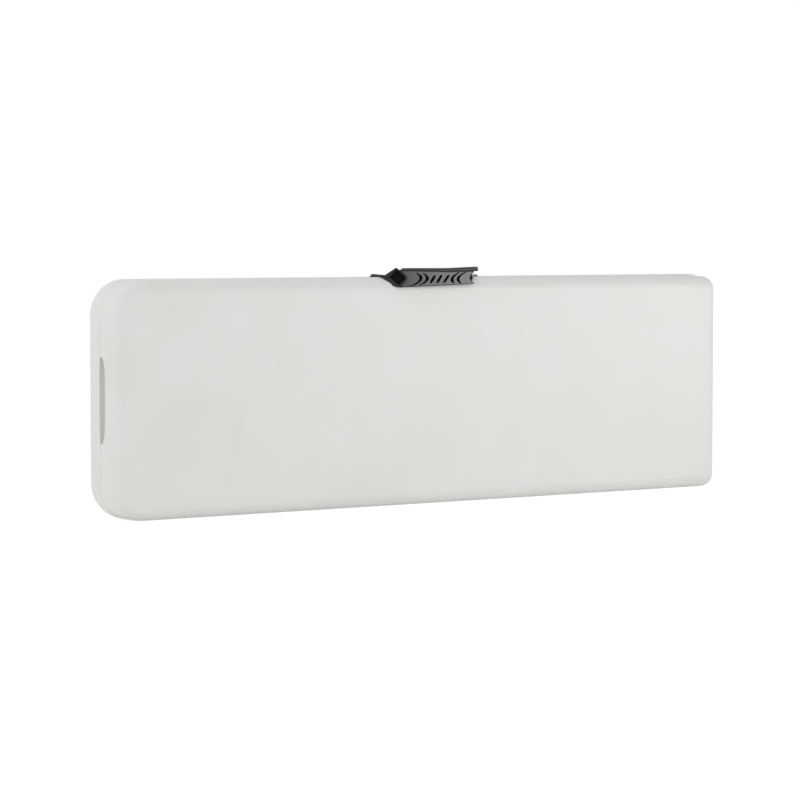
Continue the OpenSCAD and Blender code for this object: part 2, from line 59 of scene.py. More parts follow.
POINTS = {
    "bench_left_x": 90.5,
    "bench_right_x": 713.0,
    "handle_top_y": 265.8,
    "bench_bottom_y": 519.8,
    "finger_notch": (102.0, 400.0),
    "grip_end_notch": (407.5, 278.0),
    "first_grip_slot": (420.5, 278.5),
    "last_grip_slot": (458.4, 278.2),
    "grip_right_tip": (477.5, 268.0),
    "left_arm_tip": (373.0, 275.8),
}


def make_camera():
    back = Vector((
        -math.sin(CAMERA_TURN) * math.cos(CAMERA_RISE),
        -math.cos(CAMERA_TURN) * math.cos(CAMERA_RISE),
        math.sin(CAMERA_RISE),
    ))
    data = bpy.data.cameras.new("bench_camera")
    data.sensor_fit = "AUTO"
    data.sensor_width = SENSOR
    data.lens = LENS
    data.clip_start, data.clip_end = 0.05, 60.0
    camera = bpy.data.objects.new("bench_camera", data)
    bpy.context.scene.collection.objects.link(camera)
    camera.location = CAMERA_AIM + back * CAMERA_AWAY
    camera.rotation_euler = (-back).to_track_quat("-Z", "Y").to_euler()
    bpy.context.scene.camera = camera
    bpy.context.view_layer.update()
    return camera


camera = make_camera()


def seen_ray(x, y):
    """The camera's place and the direction in which it sees an image point."""
    data = camera.data
    away = Vector((
        x - W / 2 + data.shift_x * LONG_SIDE,
        H / 2 - y + data.shift_y * LONG_SIDE,
        -LONG_SIDE * data.lens / data.sensor_width,
    ))
    way = (camera.matrix_world.to_3x3() @ away).normalized()
    return camera.matrix_world.translation.copy(), way


def shown_at(place):
    """Where a place in the world shows in the image."""
    seen = camera.matrix_world.inverted() @ place
    data = camera.data
    scale = LONG_SIDE * data.lens / data.sensor_width / -seen.z
    return (W / 2 + seen.x * scale - data.shift_x * LONG_SIDE,
            H / 2 - seen.y * scale + data.shift_y * LONG_SIDE)


def surface_of(pieces):
    """One search tree over the finished faces of some pieces."""
    corners, faces = [], []
    for piece in pieces:
        start = len(corners)
        corners += [piece.matrix_world @ v.co for v in piece.data.vertices]
        faces += [[start + i for i in p.vertices] for p in piece.data.polygons]
    return BVHTree.FromPolygons(corners, faces), corners


def place_on(tree_and_corners, point):
    """Where an image point falls on a surface; a miss takes the corner nearest the ray."""
    tree, corners = tree_and_corners
    start, way = seen_ray(*point)
    hit = tree.ray_cast(start, way)[0]
    if hit is not None:
        return hit
    return min(corners, key=lambda c: ((c - start) - way * (c - start).dot(way)).length)


# ---- Materials ----

def linear(code):
    """An sRGB hex colour as the linear values that a shader takes."""
    parts = [int(code[i:i + 2], 16) / 255 for i in (1, 3, 5)]
    light = [p / 12.92 if p <= 0.04045 else ((p + 0.055) / 1.055) ** 2.4 for p in parts]
    return tuple(light) + (1.0,)


def add_node(tree, kind, settings=(), links=()):
    """Adds a node; settings go to its properties or sockets, links join its sockets to others."""
    node = tree.nodes.new(kind)
    for name, value in dict(settings).items():
        if isinstance(name, str) and hasattr(node, name):
            setattr(node, name, value)
        else:
            node.inputs[name].default_value = value
    for name, source in dict(links).items():
        tree.links.new(source, node.inputs[name])
    return node


def noise(tree, place, size, detail, roughness=0.5):
    """Clouds of about one size, from 0 to 1."""
    return add_node(tree, "ShaderNodeTexNoise",
                    {"Scale": 1 / size, "Detail": detail, "Roughness": roughness},
                    {"Vector": place}).outputs["Fac"]


def cells(tree, place, size, smoothness):
    """Rounded cells of about one size, by the distance from each cell's middle."""
    return add_node(tree, "ShaderNodeTexVoronoi",
                    {"feature": "SMOOTH_F1", "Scale": 1 / size, "Smoothness": smoothness},
                    {"Vector": place}).outputs["Distance"]


def colour_by(tree, level, first, last, start=0.0, end=1.0):
    """Goes from the first colour to the last while the level goes from start to end."""
    ramp = add_node(tree, "ShaderNodeValToRGB", links={"Fac": level})
    for element, code, position in zip(ramp.color_ramp.elements, (first, last), (start, end)):
        element.position, element.color = position, linear(code)
    return ramp.outputs["Color"]


def value_by(tree, level, first, last, start=0.0, end=1.0):
    return add_node(tree, "ShaderNodeMapRange",
                    {"From Min": start, "From Max": end, "To Min": first, "To Max": last},
                    {"Value": level}).outputs["Result"]


def bump(tree, level, strength, depth, under=None):
    """Relief of a given depth, on top of another one where there is one under it."""
    links = {"Height": level}
    if under is not None:
        links["Normal"] = under
    return add_node(tree, "ShaderNodeBump", {"Strength": strength, "Distance": depth},
                    links).outputs["Normal"]


def new_finish(name):
    finish = bpy.data.materials.new(name)
    finish.use_nodes = True
    tree = finish.node_tree
    tree.nodes.clear()
    place = add_node(tree, "ShaderNodeTexCoord").outputs["Object"]
    return finish, tree, place


def close_finish(tree, settings, links):
    shader = add_node(tree, "ShaderNodeBsdfPrincipled", settings, links)
    add_node(tree, "ShaderNodeOutputMaterial", links={"Surface": shader.outputs["BSDF"]})


def blow_moulded_polyethylene():
    """White HDPE from a textured steel mould: waxy half-matt, a pebble grain, faint flow waves."""
    finish, tree, place = new_finish("white_blow_moulded_hdpe")
    clouds = noise(tree, place, 90 * MM, 2.0)
    # The real grain is about 0.5 mm; 1.1 mm is the finest that shows here
    pebble = cells(tree, place, 1.1 * MM, 0.7)
    flow = bump(tree, noise(tree, place, 55 * MM, 1.0), 0.25, 0.5 * MM)
    close_finish(tree, {"IOR": 1.5}, {
        "Base Color": colour_by(tree, clouds, "#DFDFDC", "#E3E3E1", 0.3, 0.7),
        "Roughness": value_by(tree, clouds, 0.42, 0.48, 0.2, 0.8),
        "Normal": bump(tree, pebble, 0.16, 0.12 * MM, flow),
    })
    return finish


def moulded_polypropylene():
    """Black PP, injection moulded: half gloss that greys under a lamp, spark-eroded texture."""
    finish, tree, place = new_finish("black_moulded_polypropylene")
    spark = noise(tree, place, 0.7 * MM, 3.0, 0.6)
    close_finish(tree, {"IOR": 1.49, "Specular IOR Level": 0.32}, {
        "Base Color": colour_by(tree, spark, "#131415", "#1C1D1E"),
        "Roughness": value_by(tree, spark, 0.19, 0.27),
        "Normal": bump(tree, spark, 0.2, 0.06 * MM),
    })
    return finish


def painted_shade_polypropylene():
    """The same black PP, darker and duller, for the slots and hollows: painted shade for their
    depth.
    """
    finish, tree, place = new_finish("black_painted_shade_polypropylene")
    tooling = noise(tree, place, 0.5 * MM, 2.0, 0.6)
    # A darker colour and a weaker shine than the outside's black PP: painted shade in the slots
    # and hollows
    close_finish(tree, {"Roughness": 0.75, "Specular IOR Level": 0.05}, {
        "Base Color": colour_by(tree, tooling, "#101111", "#191A1A"),
        "Normal": bump(tree, tooling, 0.3, 0.08 * MM),
    })
    return finish


def soft_black_plastic():
    """Black PE feet and bushes: matt, a little scuffed."""
    finish, tree, place = new_finish("black_polyethylene_cap")
    scuff = noise(tree, place, 3 * MM, 5.0, 0.7)
    close_finish(tree, {"Roughness": 0.58, "IOR": 1.5}, {
        "Base Color": colour_by(tree, scuff, "#1B1C1D", "#2D2E30", 0.35, 0.75),
        "Normal": bump(tree, scuff, 0.25, 0.1 * MM),
    })
    return finish


def powder_coated_steel():
    """Grey polyester powder coat on steel: satin, with an orange-peel skin."""
    finish, tree, place = new_finish("grey_powder_coated_steel")
    patches = noise(tree, place, 25 * MM, 4.0)
    peel = noise(tree, place, 1.6 * MM, 1.0)
    coat = {"Coat Weight": 0.2, "Coat Roughness": 0.25}
    close_finish(tree, {"Roughness": 0.38, "IOR": 1.5} | coat, {
        "Base Color": colour_by(tree, patches, "#878C90", "#90969A", 0.35, 0.7),
        "Normal": bump(tree, peel, 0.3, 0.08 * MM),
    })
    return finish


def zinc_plated_steel():
    """Bright zinc on fasteners and braces: a soft metal shine with cloudy patches."""
    finish, tree, place = new_finish("zinc_plated_steel")
    patches = cells(tree, place, 4 * MM, 1.0)
    rolling = noise(tree, place, 0.8 * MM, 2.0)
    close_finish(tree, {"Metallic": 1.0}, {
        "Base Color": colour_by(tree, patches, "#C6CACE", "#B3B8BD"),
        "Roughness": value_by(tree, patches, 0.26, 0.4),
        "Normal": bump(tree, rolling, 0.12, 0.04 * MM),
    })
    return finish


HDPE = blow_moulded_polyethylene()
POLYPROPYLENE = moulded_polypropylene()
# The darker copy of the black PP, which paints shade into the slots and hollows
PAINTED_SHADE_PP = painted_shade_polypropylene()
CAP_PLASTIC = soft_black_plastic()
POWDER_COAT = powder_coated_steel()
ZINC = zinc_plated_steel()
FINISH_OF_SLOT = {
    "white_hdpe": HDPE,
    "black_polypropylene": POLYPROPYLENE,
    "black_plastic": CAP_PLASTIC,
    "grey_steel": POWDER_COAT,
    "zinc_steel": ZINC,
}


def give_finish(piece, finish):
    piece.data.materials.clear()
    piece.data.materials.append(finish)


for sub in frame["record"]["subparts"]:
    give_finish(NODES[sub["node"]], FINISH_OF_SLOT[sub["material_slot"]])


# ---- Modelling by hand ----

def take(piece):
    """Leaves edit mode and makes one piece the only one picked."""
    if bpy.context.object and bpy.context.object.mode != "OBJECT":
        bpy.ops.object.mode_set(mode="OBJECT")
    bpy.ops.object.select_all(action="DESELECT")
    piece.select_set(True)
    bpy.context.view_layer.objects.active = piece


def pick(piece, kind, test):
    """Edit mode on one piece, with the faces, edges or corners picked that pass the test."""
    take(piece)
    bpy.ops.object.mode_set(mode="EDIT")
    bpy.ops.mesh.select_mode(type=kind)
    bpy.ops.mesh.select_all(action="DESELECT")
    mesh = bmesh.from_edit_mesh(piece.data)
    for part in {"FACE": mesh.faces, "EDGE": mesh.edges, "VERT": mesh.verts}[kind]:
        if test(part):
            part.select_set(True)
    mesh.select_flush_mode()
    bmesh.update_edit_mesh(piece.data)


def done():
    bpy.ops.object.mode_set(mode="OBJECT")


def keep_place():
    bpy.ops.object.transform_apply(location=True, rotation=True, scale=True)


def block(name, low, high):
    """A cuboid between two corners."""
    low, high = Vector(low), Vector(high)
    bpy.ops.object.select_all(action="DESELECT")
    bpy.ops.mesh.primitive_cube_add(size=1, location=(low + high) / 2)
    piece = bpy.context.object
    piece.name = name
    piece.scale = [abs(s) for s in high - low]
    keep_place()
    return piece


def rod(name, start, end, d, sides=32, far_d=None):
    """A round bar, or a cone where its far end has a size of its own."""
    start, end = Vector(start), Vector(end)
    way = end - start
    bpy.ops.object.select_all(action="DESELECT")
    bpy.ops.mesh.primitive_cone_add(vertices=sides, radius1=d / 2, radius2=(far_d or d) / 2,
                                    depth=way.length, location=(start + end) / 2,
                                    rotation=way.to_track_quat("Z", "Y").to_euler())
    piece = bpy.context.object
    piece.name = name
    keep_place()
    return piece


def hull_of(name, corners):
    """A solid stretched over its corners."""
    data = bpy.data.meshes.new(name)
    data.from_pydata(corners, [], [])
    piece = bpy.data.objects.new(name, data)
    bpy.context.scene.collection.objects.link(piece)
    pick(piece, "VERT", lambda v: True)
    bpy.ops.mesh.convex_hull()
    done()
    return piece


def bevel_edges(piece, test, size, steps):
    pick(piece, "EDGE", test)
    bpy.ops.mesh.bevel(offset=size, offset_type="OFFSET", segments=steps, profile=0.5,
                       affect="EDGES", clamp_overlap=False)
    done()


def shift_corners(piece, test, way):
    pick(piece, "VERT", test)
    bpy.ops.transform.translate(value=way)
    done()


def cut_across(piece, place, normal):
    """Adds a line of corners where a plane meets the piece."""
    pick(piece, "FACE", lambda face: True)
    bpy.ops.mesh.bisect(plane_co=place, plane_no=normal)
    done()


def use(piece, kind, **settings):
    """Adds a modifier and applies it."""
    take(piece)
    modifier = piece.modifiers.new(kind.lower(), kind)
    for name, value in settings.items():
        setattr(modifier, name, value)
    bpy.ops.object.modifier_apply(modifier=modifier.name)


def carve(piece, *cutters):
    for cutter in cutters:
        use(piece, "BOOLEAN", operation="DIFFERENCE", object=cutter, solver="EXACT")
        bpy.data.objects.remove(cutter)


def join(pieces, name):
    take(pieces[0])
    for piece in pieces:
        piece.select_set(True)
    bpy.ops.object.join()
    bpy.context.object.name = name
    return bpy.context.object


def smooth(piece, degrees):
    take(piece)
    bpy.ops.object.shade_smooth_by_angle(angle=math.radians(degrees))


def seat(piece, body, node):
    """Hangs a finished piece on its body, in place of the CAD node that it stands for."""
    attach(piece, body)
    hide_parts(node)


# ---- Seat panels ----

SEAT_W = 280 * MM
HALF_T = 35 * MM
SEAM = 0.15 * MM
OUTER_X = -457.5 * MM
PANEL_END = 457.2 * MM
FOLD_X = 457.5 * MM
OUTER_R = 43 * MM
FOLD_R = 16.6 * MM
FACE_R = 16 * MM          # rounding of the seat face's edge; no corner may be tighter
SEAM_EDGE_R = 0.9 * MM    # rounding of every edge at the seam
SHARP = math.radians(50)  # flatter edges aren't rounded
FALL_START, FALL = 390 * MM, 3.4 * MM    # the front half's top edge falls towards the fold
RECESS_DEPTH = 23 * MM
BORDER = 22 * MM
OUTER_BORDER = 30 * MM
RECESS_R = 24 * MM
RECESS_FOLD_R = 8 * MM
RECESS_FLOOR_R = 1.5 * MM
OVER = 1 * MM             # how far a cutter runs past what it opens


def near(value, target):
    return abs(value - target) < 0.02 * MM


def at_depth(edge, y):
    """An edge that lies at one depth from the seam."""
    return all(near(v.co.y, y) for v in edge.verts)


def upright_edge(edge, x_low, x_high):
    """An edge that runs from the seam to the seat face, with its x between two values."""
    a, b = (v.co for v in edge.verts)
    return near(a.x, b.x) and near(a.z, b.z) and x_low < a.x < x_high


def recess_cutter(out):
    tool = block("recess", (OUTER_X + OUTER_BORDER, -out * OVER, BORDER),
                 (FOLD_X - BORDER, out * RECESS_DEPTH, SEAT_W - BORDER))
    bevel_edges(tool, lambda e: upright_edge(e, -1, 0), RECESS_R, 10)
    bevel_edges(tool, lambda e: upright_edge(e, 0, 1), RECESS_FOLD_R, 6)
    bevel_edges(tool, lambda e: at_depth(e, out * RECESS_DEPTH), RECESS_FLOOR_R, 3)
    return tool


DIMPLE_D, DIMPLE_TIP_D, DIMPLE_DEPTH = 15 * MM, 10.5 * MM, 7 * MM
DIMPLE_TIP_R = 2.4 * MM
DIMPLE_SIDES = 28
DIMPLE_LIP = 2.2 * MM
DIMPLE_MOUTH = ((-OVER, 1.36), (0, 1.24), (DIMPLE_LIP / 3, 1.08))    # depth, and how much wider
DIMPLE_START, DIMPLE_STEP, DIMPLE_COLS = -349.5 * MM, 74 * MM, 10
DIMPLE_ROWS = (88 * MM, 140 * MM, 192 * MM)
ANCHOR_X, ANCHOR_LEN = -72.5 * MM, 26 * MM


def dimple_cutter(out):
    """One kiss-off dimple with a flared mouth and a round bottom, copied along and across."""
    def depth(d):
        return out * (RECESS_DEPTH + d)
    x, z = DIMPLE_START, DIMPLE_ROWS[0]
    tool = rod("dimple", (x, depth(-OVER), z), (x, depth(DIMPLE_DEPTH), z),
               DIMPLE_D, DIMPLE_SIDES, DIMPLE_TIP_D)
    bevel_edges(tool, lambda e: at_depth(e, depth(DIMPLE_DEPTH)), DIMPLE_TIP_R, 4)
    for level in (DIMPLE_LIP, DIMPLE_LIP / 3, 0):
        cut_across(tool, (x, depth(level), z), (0, 1, 0))
    for level, grow in DIMPLE_MOUTH:
        pick(tool, "VERT", lambda v: near(v.co.y, depth(level)))
        bpy.ops.transform.resize(value=(grow, 1, grow), center_override=(x, depth(level), z))
        done()
    copies = [tool]
    for col in range(DIMPLE_COLS):
        for row, row_z in enumerate(DIMPLE_ROWS):
            at = DIMPLE_START + col * DIMPLE_STEP
            if (col, row) == (0, 0) or (row == 1 and abs(at - ANCHOR_X) < ANCHOR_LEN):
                continue
            copy = tool.copy()
            copy.data = tool.data.copy()
            copy.data.transform(Matrix.Translation((at - x, 0, row_z - z)))
            bpy.context.scene.collection.objects.link(copy)
            copies.append(copy)
    return join(copies, "dimples")


NOTCH_LEN, NOTCH_MID, NOTCH_DEPTH = 101 * MM, 140 * MM, 9 * MM
NOTCH_BITE = {"front": 11.4 * MM, "rear": 2 * MM}
NOTCH_SQUARE = {"front": 3.3, "rear": 2.2}    # 2 would be a plain ellipse
NOTCH_STEPS = 48


def notch_cutter(side, out):
    """Finger slot in the outer end: long, with straight sides and round ends."""
    bite, bend = NOTCH_BITE[side], 2 / NOTCH_SQUARE[side]
    half = NOTCH_LEN / 2
    outline = []
    for i in range(1, NOTCH_STEPS):
        turn = math.pi * i / NOTCH_STEPS
        along = math.copysign(abs(math.cos(turn)) ** bend, math.cos(turn))
        outline.append((out * bite * math.sin(turn) ** bend, NOTCH_MID + half * along))
    outline += [(-out * OVER, NOTCH_MID - half), (-out * OVER, NOTCH_MID + half)]
    return hull_of("notch", [(x, y, z) for x in (OUTER_X - OVER, OUTER_X + NOTCH_DEPTH)
                             for y, z in outline])


HINGE_Z = 44 * MM
HINGE_ROOM_LOW = HINGE_Z - 3.5 * MM - 1 * MM    # the plate's half thickness and a gap
HINGE_ROOM_H = 19 * MM
HINGE_ROOM_DEPTH = 17 * MM
HINGE_ROOM_R = 2 * MM
EYE_X = 77 * MM
POCKET_IN, POCKET_OUT = 5.5 * MM, 15.5 * MM     # from the eye's middle to the pocket's two ends
POCKET_FLOOR = 266 * MM
POCKET_DEPTH = 11 * MM
POCKET_R = 1.5 * MM


def hinge_cutters(out):
    """Room at the fold end for the hinge plates' eyes, the bolts and the nuts."""
    tools = []
    for low in (HINGE_ROOM_LOW, SEAT_W - HINGE_ROOM_LOW - HINGE_ROOM_H):
        tool = block("hinge_room", (FOLD_X - BORDER - OVER, -out * OVER, low),
                     (FOLD_X + OVER, out * HINGE_ROOM_DEPTH, low + HINGE_ROOM_H))
        bevel_edges(tool, lambda e: at_depth(e, out * HINGE_ROOM_DEPTH)
                    and near(e.verts[0].co.z, e.verts[1].co.z), HINGE_ROOM_R, 4)
        tools.append(tool)
    return tools


def pocket_cutters(out):
    """Room in the top edge for the handle brackets and the eyes that they carry."""
    tools = []
    for end in (-1, 1):
        tool = block("bracket_room", (end * (EYE_X - POCKET_IN), -out * OVER, POCKET_FLOOR),
                     (end * (EYE_X + POCKET_OUT), out * POCKET_DEPTH, SEAT_W + OVER))
        bevel_edges(tool, lambda e: at_depth(e, out * POCKET_DEPTH)
                    and near(e.verts[0].co.x, e.verts[1].co.x), POCKET_R, 3)
        tools.append(tool)
    return tools


def seat_panel(side):
    """One blow-moulded half: rounded slab, recess, dimples and the notches round its rim."""
    out = -1 if side == "front" else 1
    panel = block(side + "_seat_shell",
                  (OUTER_X, out * SEAM, 0), (PANEL_END, out * HALF_T, SEAT_W))
    if side == "front":
        cut_across(panel, (FALL_START, 0, 0), (1, 0, 0))
        shift_corners(panel, lambda v: near(v.co.x, PANEL_END) and near(v.co.z, SEAT_W),
                      (0, 0, -FALL))
    bevel_edges(panel, lambda e: upright_edge(e, -1, 0), OUTER_R, 16)
    bevel_edges(panel, lambda e: upright_edge(e, FALL_START + OVER, 1), FOLD_R, 10)
    bevel_edges(panel, lambda e: at_depth(e, out * HALF_T) and e.calc_face_angle(0) > SHARP,
                FACE_R, 12)
    carve(panel, recess_cutter(out), notch_cutter(side, out), *hinge_cutters(out))
    if side == "front":
        carve(panel, *pocket_cutters(out))
    bevel_edges(panel, lambda e: at_depth(e, out * SEAM) and e.calc_face_angle(0) > SHARP,
                SEAM_EDGE_R, 3)
    carve(panel, dimple_cutter(out))
    smooth(panel, 30)
    give_finish(panel, HDPE)
    seat(panel, side + "_half", side + "_seat_panel")
    return panel


front_shell = seat_panel("front")
rear_shell = seat_panel("rear")


# ---- Carry handle ----

GRIP_FRONT = -41 * MM
GRIP_BACK = -36.6 * MM
GRIP_LEFT, GRIP_RIGHT = -64 * MM, 50 * MM
GRIP_FOOT, GRIP_TOP = 267.4 * MM, 290 * MM
ARC_RIGHT = 55 * MM       # the arc that the grip follows runs on past its right end
GRIP_BOW = 1.4 * MM       # how far the middle of the arc stands out
FOOT_RISE = 3.6 * MM      # the lower edge rises towards the right end
PIN_Y = -5.5 * MM
PIN_Z = 278.5 * MM
STATIONS = 14             # straight pieces that make up the arc

# What the plate's ends lose, as x and z in mm
END_NOTCH = (-51.6, 279)
PLATE_CUTS = {
    "left_notch": [END_NOTCH, (-63.6, 289.4), (-80, 300), (-80, 250), (-62.5, 267)],
    "left_shoulder": [(-70, 286), (-57, 290.2), (-57, 293), (-70, 293)],
    "right_notch": [(43.6, 278.6), (47.6, 283.6), (52, 284.6), (52, 272.6), (47.6, 273.6)],
}
PLATE_CUT_Y = (-60 * MM, -30 * MM)

RIM_LEFT, RIM_RIGHT = -57.5 * MM, 56.2 * MM
RIM_LEFT_D, RIM_RIGHT_D = 4 * MM, 5.8 * MM
RIM_LEFT_IN, RIM_LEFT_DOWN = 1.65 * MM, 0.8 * MM      # its middle, from the plate's front and top
RIM_RIGHT_IN, RIM_RIGHT_DOWN = 1.25 * MM, 2.2 * MM
RIM_TIP_R = 2 * MM
RIM_CURL = 1.7 * MM       # how far the rim has curled up at the arc's right end
CURL_START = 8 / 13       # where on the arc it starts to


def along_grip(x):
    """0 at the arc's left end and 1 at its right."""
    return (x - GRIP_LEFT) / (ARC_RIGHT - GRIP_LEFT)


def bowed(x):
    return -GRIP_BOW * (1 - (2 * along_grip(x) - 1) ** 2)


def bow_out(piece, left, right, rise, foot_rise):
    """Bends a piece that lies along the grip: out in the middle, its edges up by their place."""
    for i in range(1, STATIONS):
        cut_across(piece, (left + (right - left) * i / STATIONS, 0, 0), (1, 0, 0))
    places = []
    for x in sorted(v.co.x for v in piece.data.vertices):
        if not places or not near(x, places[-1]):
            places.append(x)
    for x in places:
        for foot, lift in ((False, rise(x)), (True, foot_rise(x))):
            shift_corners(piece, lambda v: near(v.co.x, x) and near(v.co.z, GRIP_FOOT) == foot,
                          (0, bowed(x), lift))


def grip_plate():
    """Bowed plate that tapers to the right, with a notch in each end."""
    plate = block("grip_plate",
                  (GRIP_LEFT, GRIP_FRONT, GRIP_FOOT), (GRIP_RIGHT, GRIP_BACK, GRIP_TOP))
    bow_out(plate, GRIP_LEFT, GRIP_RIGHT, lambda x: 0, lambda x: FOOT_RISE * along_grip(x))
    for name, outline in PLATE_CUTS.items():
        carve(plate, hull_of(name, [(x * MM, y, z * MM) for y in PLATE_CUT_Y for x, z in outline]))
    return plate


def rim_rise(x):
    return RIM_CURL * max(0, (along_grip(x) - CURL_START) / (1 - CURL_START))


def grip_rim():
    """The rolled upper edge: thin at the left, full at the right, where it curls up."""
    rim = rod("rim", (RIM_LEFT, GRIP_FRONT + RIM_LEFT_IN, GRIP_TOP - RIM_LEFT_DOWN),
              (RIM_RIGHT, GRIP_FRONT + RIM_RIGHT_IN, GRIP_TOP - RIM_RIGHT_DOWN),
              RIM_LEFT_D, far_d=RIM_RIGHT_D)
    bevel_edges(rim, lambda e: all(near(v.co.x, RIM_RIGHT) for v in e.verts), RIM_TIP_R, 4)
    bow_out(rim, RIM_LEFT, RIM_RIGHT, rim_rise, lambda x: 0)
    return rim


# Each grip slot: its place in the row, from the first at 0 to the last at 1, then in mm its lean,
# its bow, and its lower and upper end
SLOT_ROW = (
    (0, 6.4, 12.2, 267.8, 285.0), (0.177, 3.0, 9.2, 270.0, 284.4), (0.319, 3.2, 0, 272.6, 282.0),
    (0.492, 3.2, 0, 272.6, 282.2), (0.679, 3.9, 0, 272.8, 282.4), (0.840, 4.2, -6.2, 272.0, 285.2),
    (1, 4.3, -8.1, 271.8, 286.0),
)
SLOT_RINGS = 9
SLOT_W = 4.6 * MM
SLOT_DEPTH = 3.4 * MM
SLOT_NARROWING = 0.3      # how much of its width a slot loses at its ends


def slot_line(slot, row, t):
    """Middle line of a grip slot, with t from -1 at its lower end to 1: x and z."""
    place, lean, bow, low, high = slot
    middle = row[0] + (row[1] - row[0]) * place
    x = middle + (lean * t - bow * t * t) * MM
    return x, ((low + high) / 2 + (high - low) / 2 * t) * MM


def slot_cutter(slot, row):
    """A bar as tall as t runs, from -1 to 1, with each ring moved to its place on the line."""
    face = GRIP_FRONT + bowed(slot_line(slot, row, 0)[0])
    tool = block("slot", (-SLOT_W / 2, face - 2 * OVER, -1), (SLOT_W / 2, face + SLOT_DEPTH, 1))
    rings = [2 * i / (SLOT_RINGS - 1) - 1 for i in range(SLOT_RINGS)]
    for t in rings[1:-1]:
        cut_across(tool, (0, 0, t), (0, 0, 1))
    for t in rings:
        x, z = slot_line(slot, row, t)
        shift_corners(tool, lambda v: abs(v.co.z - t) < 0.01, (x, 0, z - t))
        pick(tool, "VERT", lambda v: near(v.co.z, z))
        width = 1 - SLOT_NARROWING * t ** 4
        bpy.ops.transform.resize(value=(width, 1, 1), center_override=(x, 0, z))
        done()
    return tool


def hull_in_mm(name, end, corners):
    """A solid over corners in mm, as on the right for end 1 and mirrored for -1."""
    return hull_of(name, [(end * x * MM, y * MM, z * MM) for x, y, z in corners])


ARM_W = 5                 # in mm, as the arms' corners are
ARM_STEPS = ("neck", "elbow", "shank", "wrist", "mouth")
EYE_W, EYE_D = 5 * MM, 8.6 * MM


def section(x, y, low, high):
    """Where an arm passes one depth: its four corners in mm."""
    return [(x + side * ARM_W / 2, y, z) for side in (-1, 1) for z in (low, high)]


# Corners of each arm in mm, as on the right: from the eye's neck to the flare's mouth, and the
# hollow in the flare
LEFT_ARM = {
    "neck": section(77, -4, 278.5, 283.8), "elbow": section(76.9, -11, 280.4, 283.6),
    "shank": section(76.4, -22, 278, 283), "wrist": section(74, -29, 272.5, 282.6),
    "mouth": [(65, -37.6, 292), (51, -41.6, 279), (62, -38.4, 266.9), (69, -33.5, 281),
              (64, -31, 290), (55, -36, 285), (55, -36, 274), (64, -35.4, 270)],
    "hollow": [(65.3, -39.6, 290.4), (52.6, -43.4, 279), (62.4, -40.4, 268.8), (73.4, -34.4, 280),
               (62, -33, 287.4), (54, -37.6, 279), (61.4, -35.6, 271.4), (69.6, -29.6, 280.6)],
}
RIGHT_ARM = {
    "neck": section(77, -5.5, 278.5, 282.6), "elbow": section(73, -11, 280.4, 282.6),
    "shank": section(63, -22, 278, 282.2), "wrist": section(54, -30, 274, 281.2),
    "mouth": [(48, -38.6, 289.5), (42, -39.6, 279), (49, -38.4, 271.6), (50.4, -34.5, 281),
              (47, -35, 288), (41, -36, 285), (41, -36, 275), (48, -35.4, 273)],
    "hollow": [(49, -40, 288), (43, -41.6, 279), (49.6, -40.4, 272.8), (54, -35.5, 280.6),
               (46.5, -35.6, 286), (43.5, -36.9, 279.5), (47.5, -36, 274), (51, -32, 281)],
}


def arm(end, corners):
    """Out of the pivot eye, over the rounded edge, and flaring out to the grip's notched end."""
    eye = rod("arm_eye", (end * (EYE_X - EYE_W / 2), PIN_Y, PIN_Z),
              (end * (EYE_X + EYE_W / 2), PIN_Y, PIN_Z), EYE_D, 36)
    return [eye] + [hull_in_mm("arm_" + a, end, corners[a] + corners[b])
                    for a, b in zip(ARM_STEPS, ARM_STEPS[1:])]


EDGE_GAP = 0.4 * MM
ROOM_INNER_Y, ROOM_FOOT, ROOM_HALF_LEN = -10 * MM, 100 * MM, 200 * MM
SKIN_VOXEL = 0.5 * MM


def edge_room():
    """What the handle keeps clear of: the front half's rounded top edge, and a gap over it."""
    edge_y, edge_z = -(HALF_T - FACE_R), SEAT_W - FACE_R
    reach = FACE_R + EDGE_GAP
    turns = [math.radians(3 * i) for i in range(31)]
    outline = [(edge_y - reach * math.sin(a), edge_z + reach * math.cos(a)) for a in turns]
    outline += [(ROOM_INNER_Y, SEAT_W + EDGE_GAP), (ROOM_INNER_Y, ROOM_FOOT),
                (-HALF_T - EDGE_GAP, ROOM_FOOT)]
    return hull_of("edge_room", [(x, y, z) for x in (-ROOM_HALF_LEN, ROOM_HALF_LEN)
                                 for y, z in outline])


def carry_handle():
    """Grip and arms grown into one moulding, then its slots and hollows; also the slots' row."""
    handle = join([grip_plate(), grip_rim()] + arm(-1, LEFT_ARM) + arm(1, RIGHT_ARM), "carry_grip")
    use(handle, "REMESH", mode="VOXEL", voxel_size=SKIN_VOXEL)
    use(handle, "SMOOTH", factor=0.5, iterations=4)
    carve(handle, edge_room())
    grip_face = surface_of([handle])
    row = [place_on(grip_face, POINTS[name]).x for name in ("first_grip_slot", "last_grip_slot")]
    cores = [slot_cutter(slot, row) for slot in SLOT_ROW]
    cores += [hull_in_mm("hollow", end, corners["hollow"])
              for end, corners in ((-1, LEFT_ARM), (1, RIGHT_ARM))]
    cores = join(cores, "cores")
    for piece in (handle, cores):
        give_finish(piece, POLYPROPYLENE)
        piece.data.materials.append(PAINTED_SHADE_PP)
    # The cutters' faces become the walls of the slots and hollows, in the darker copy of the black
    # PP: painted shade
    for face in cores.data.polygons:
        face.material_index = 1
    carve(handle, cores)
    smooth(handle, 40)
    seat(handle, "handle", "carry_handle")
    return handle, row


handle, slot_row = carry_handle()


# ---- Floor, backdrop and lights ----

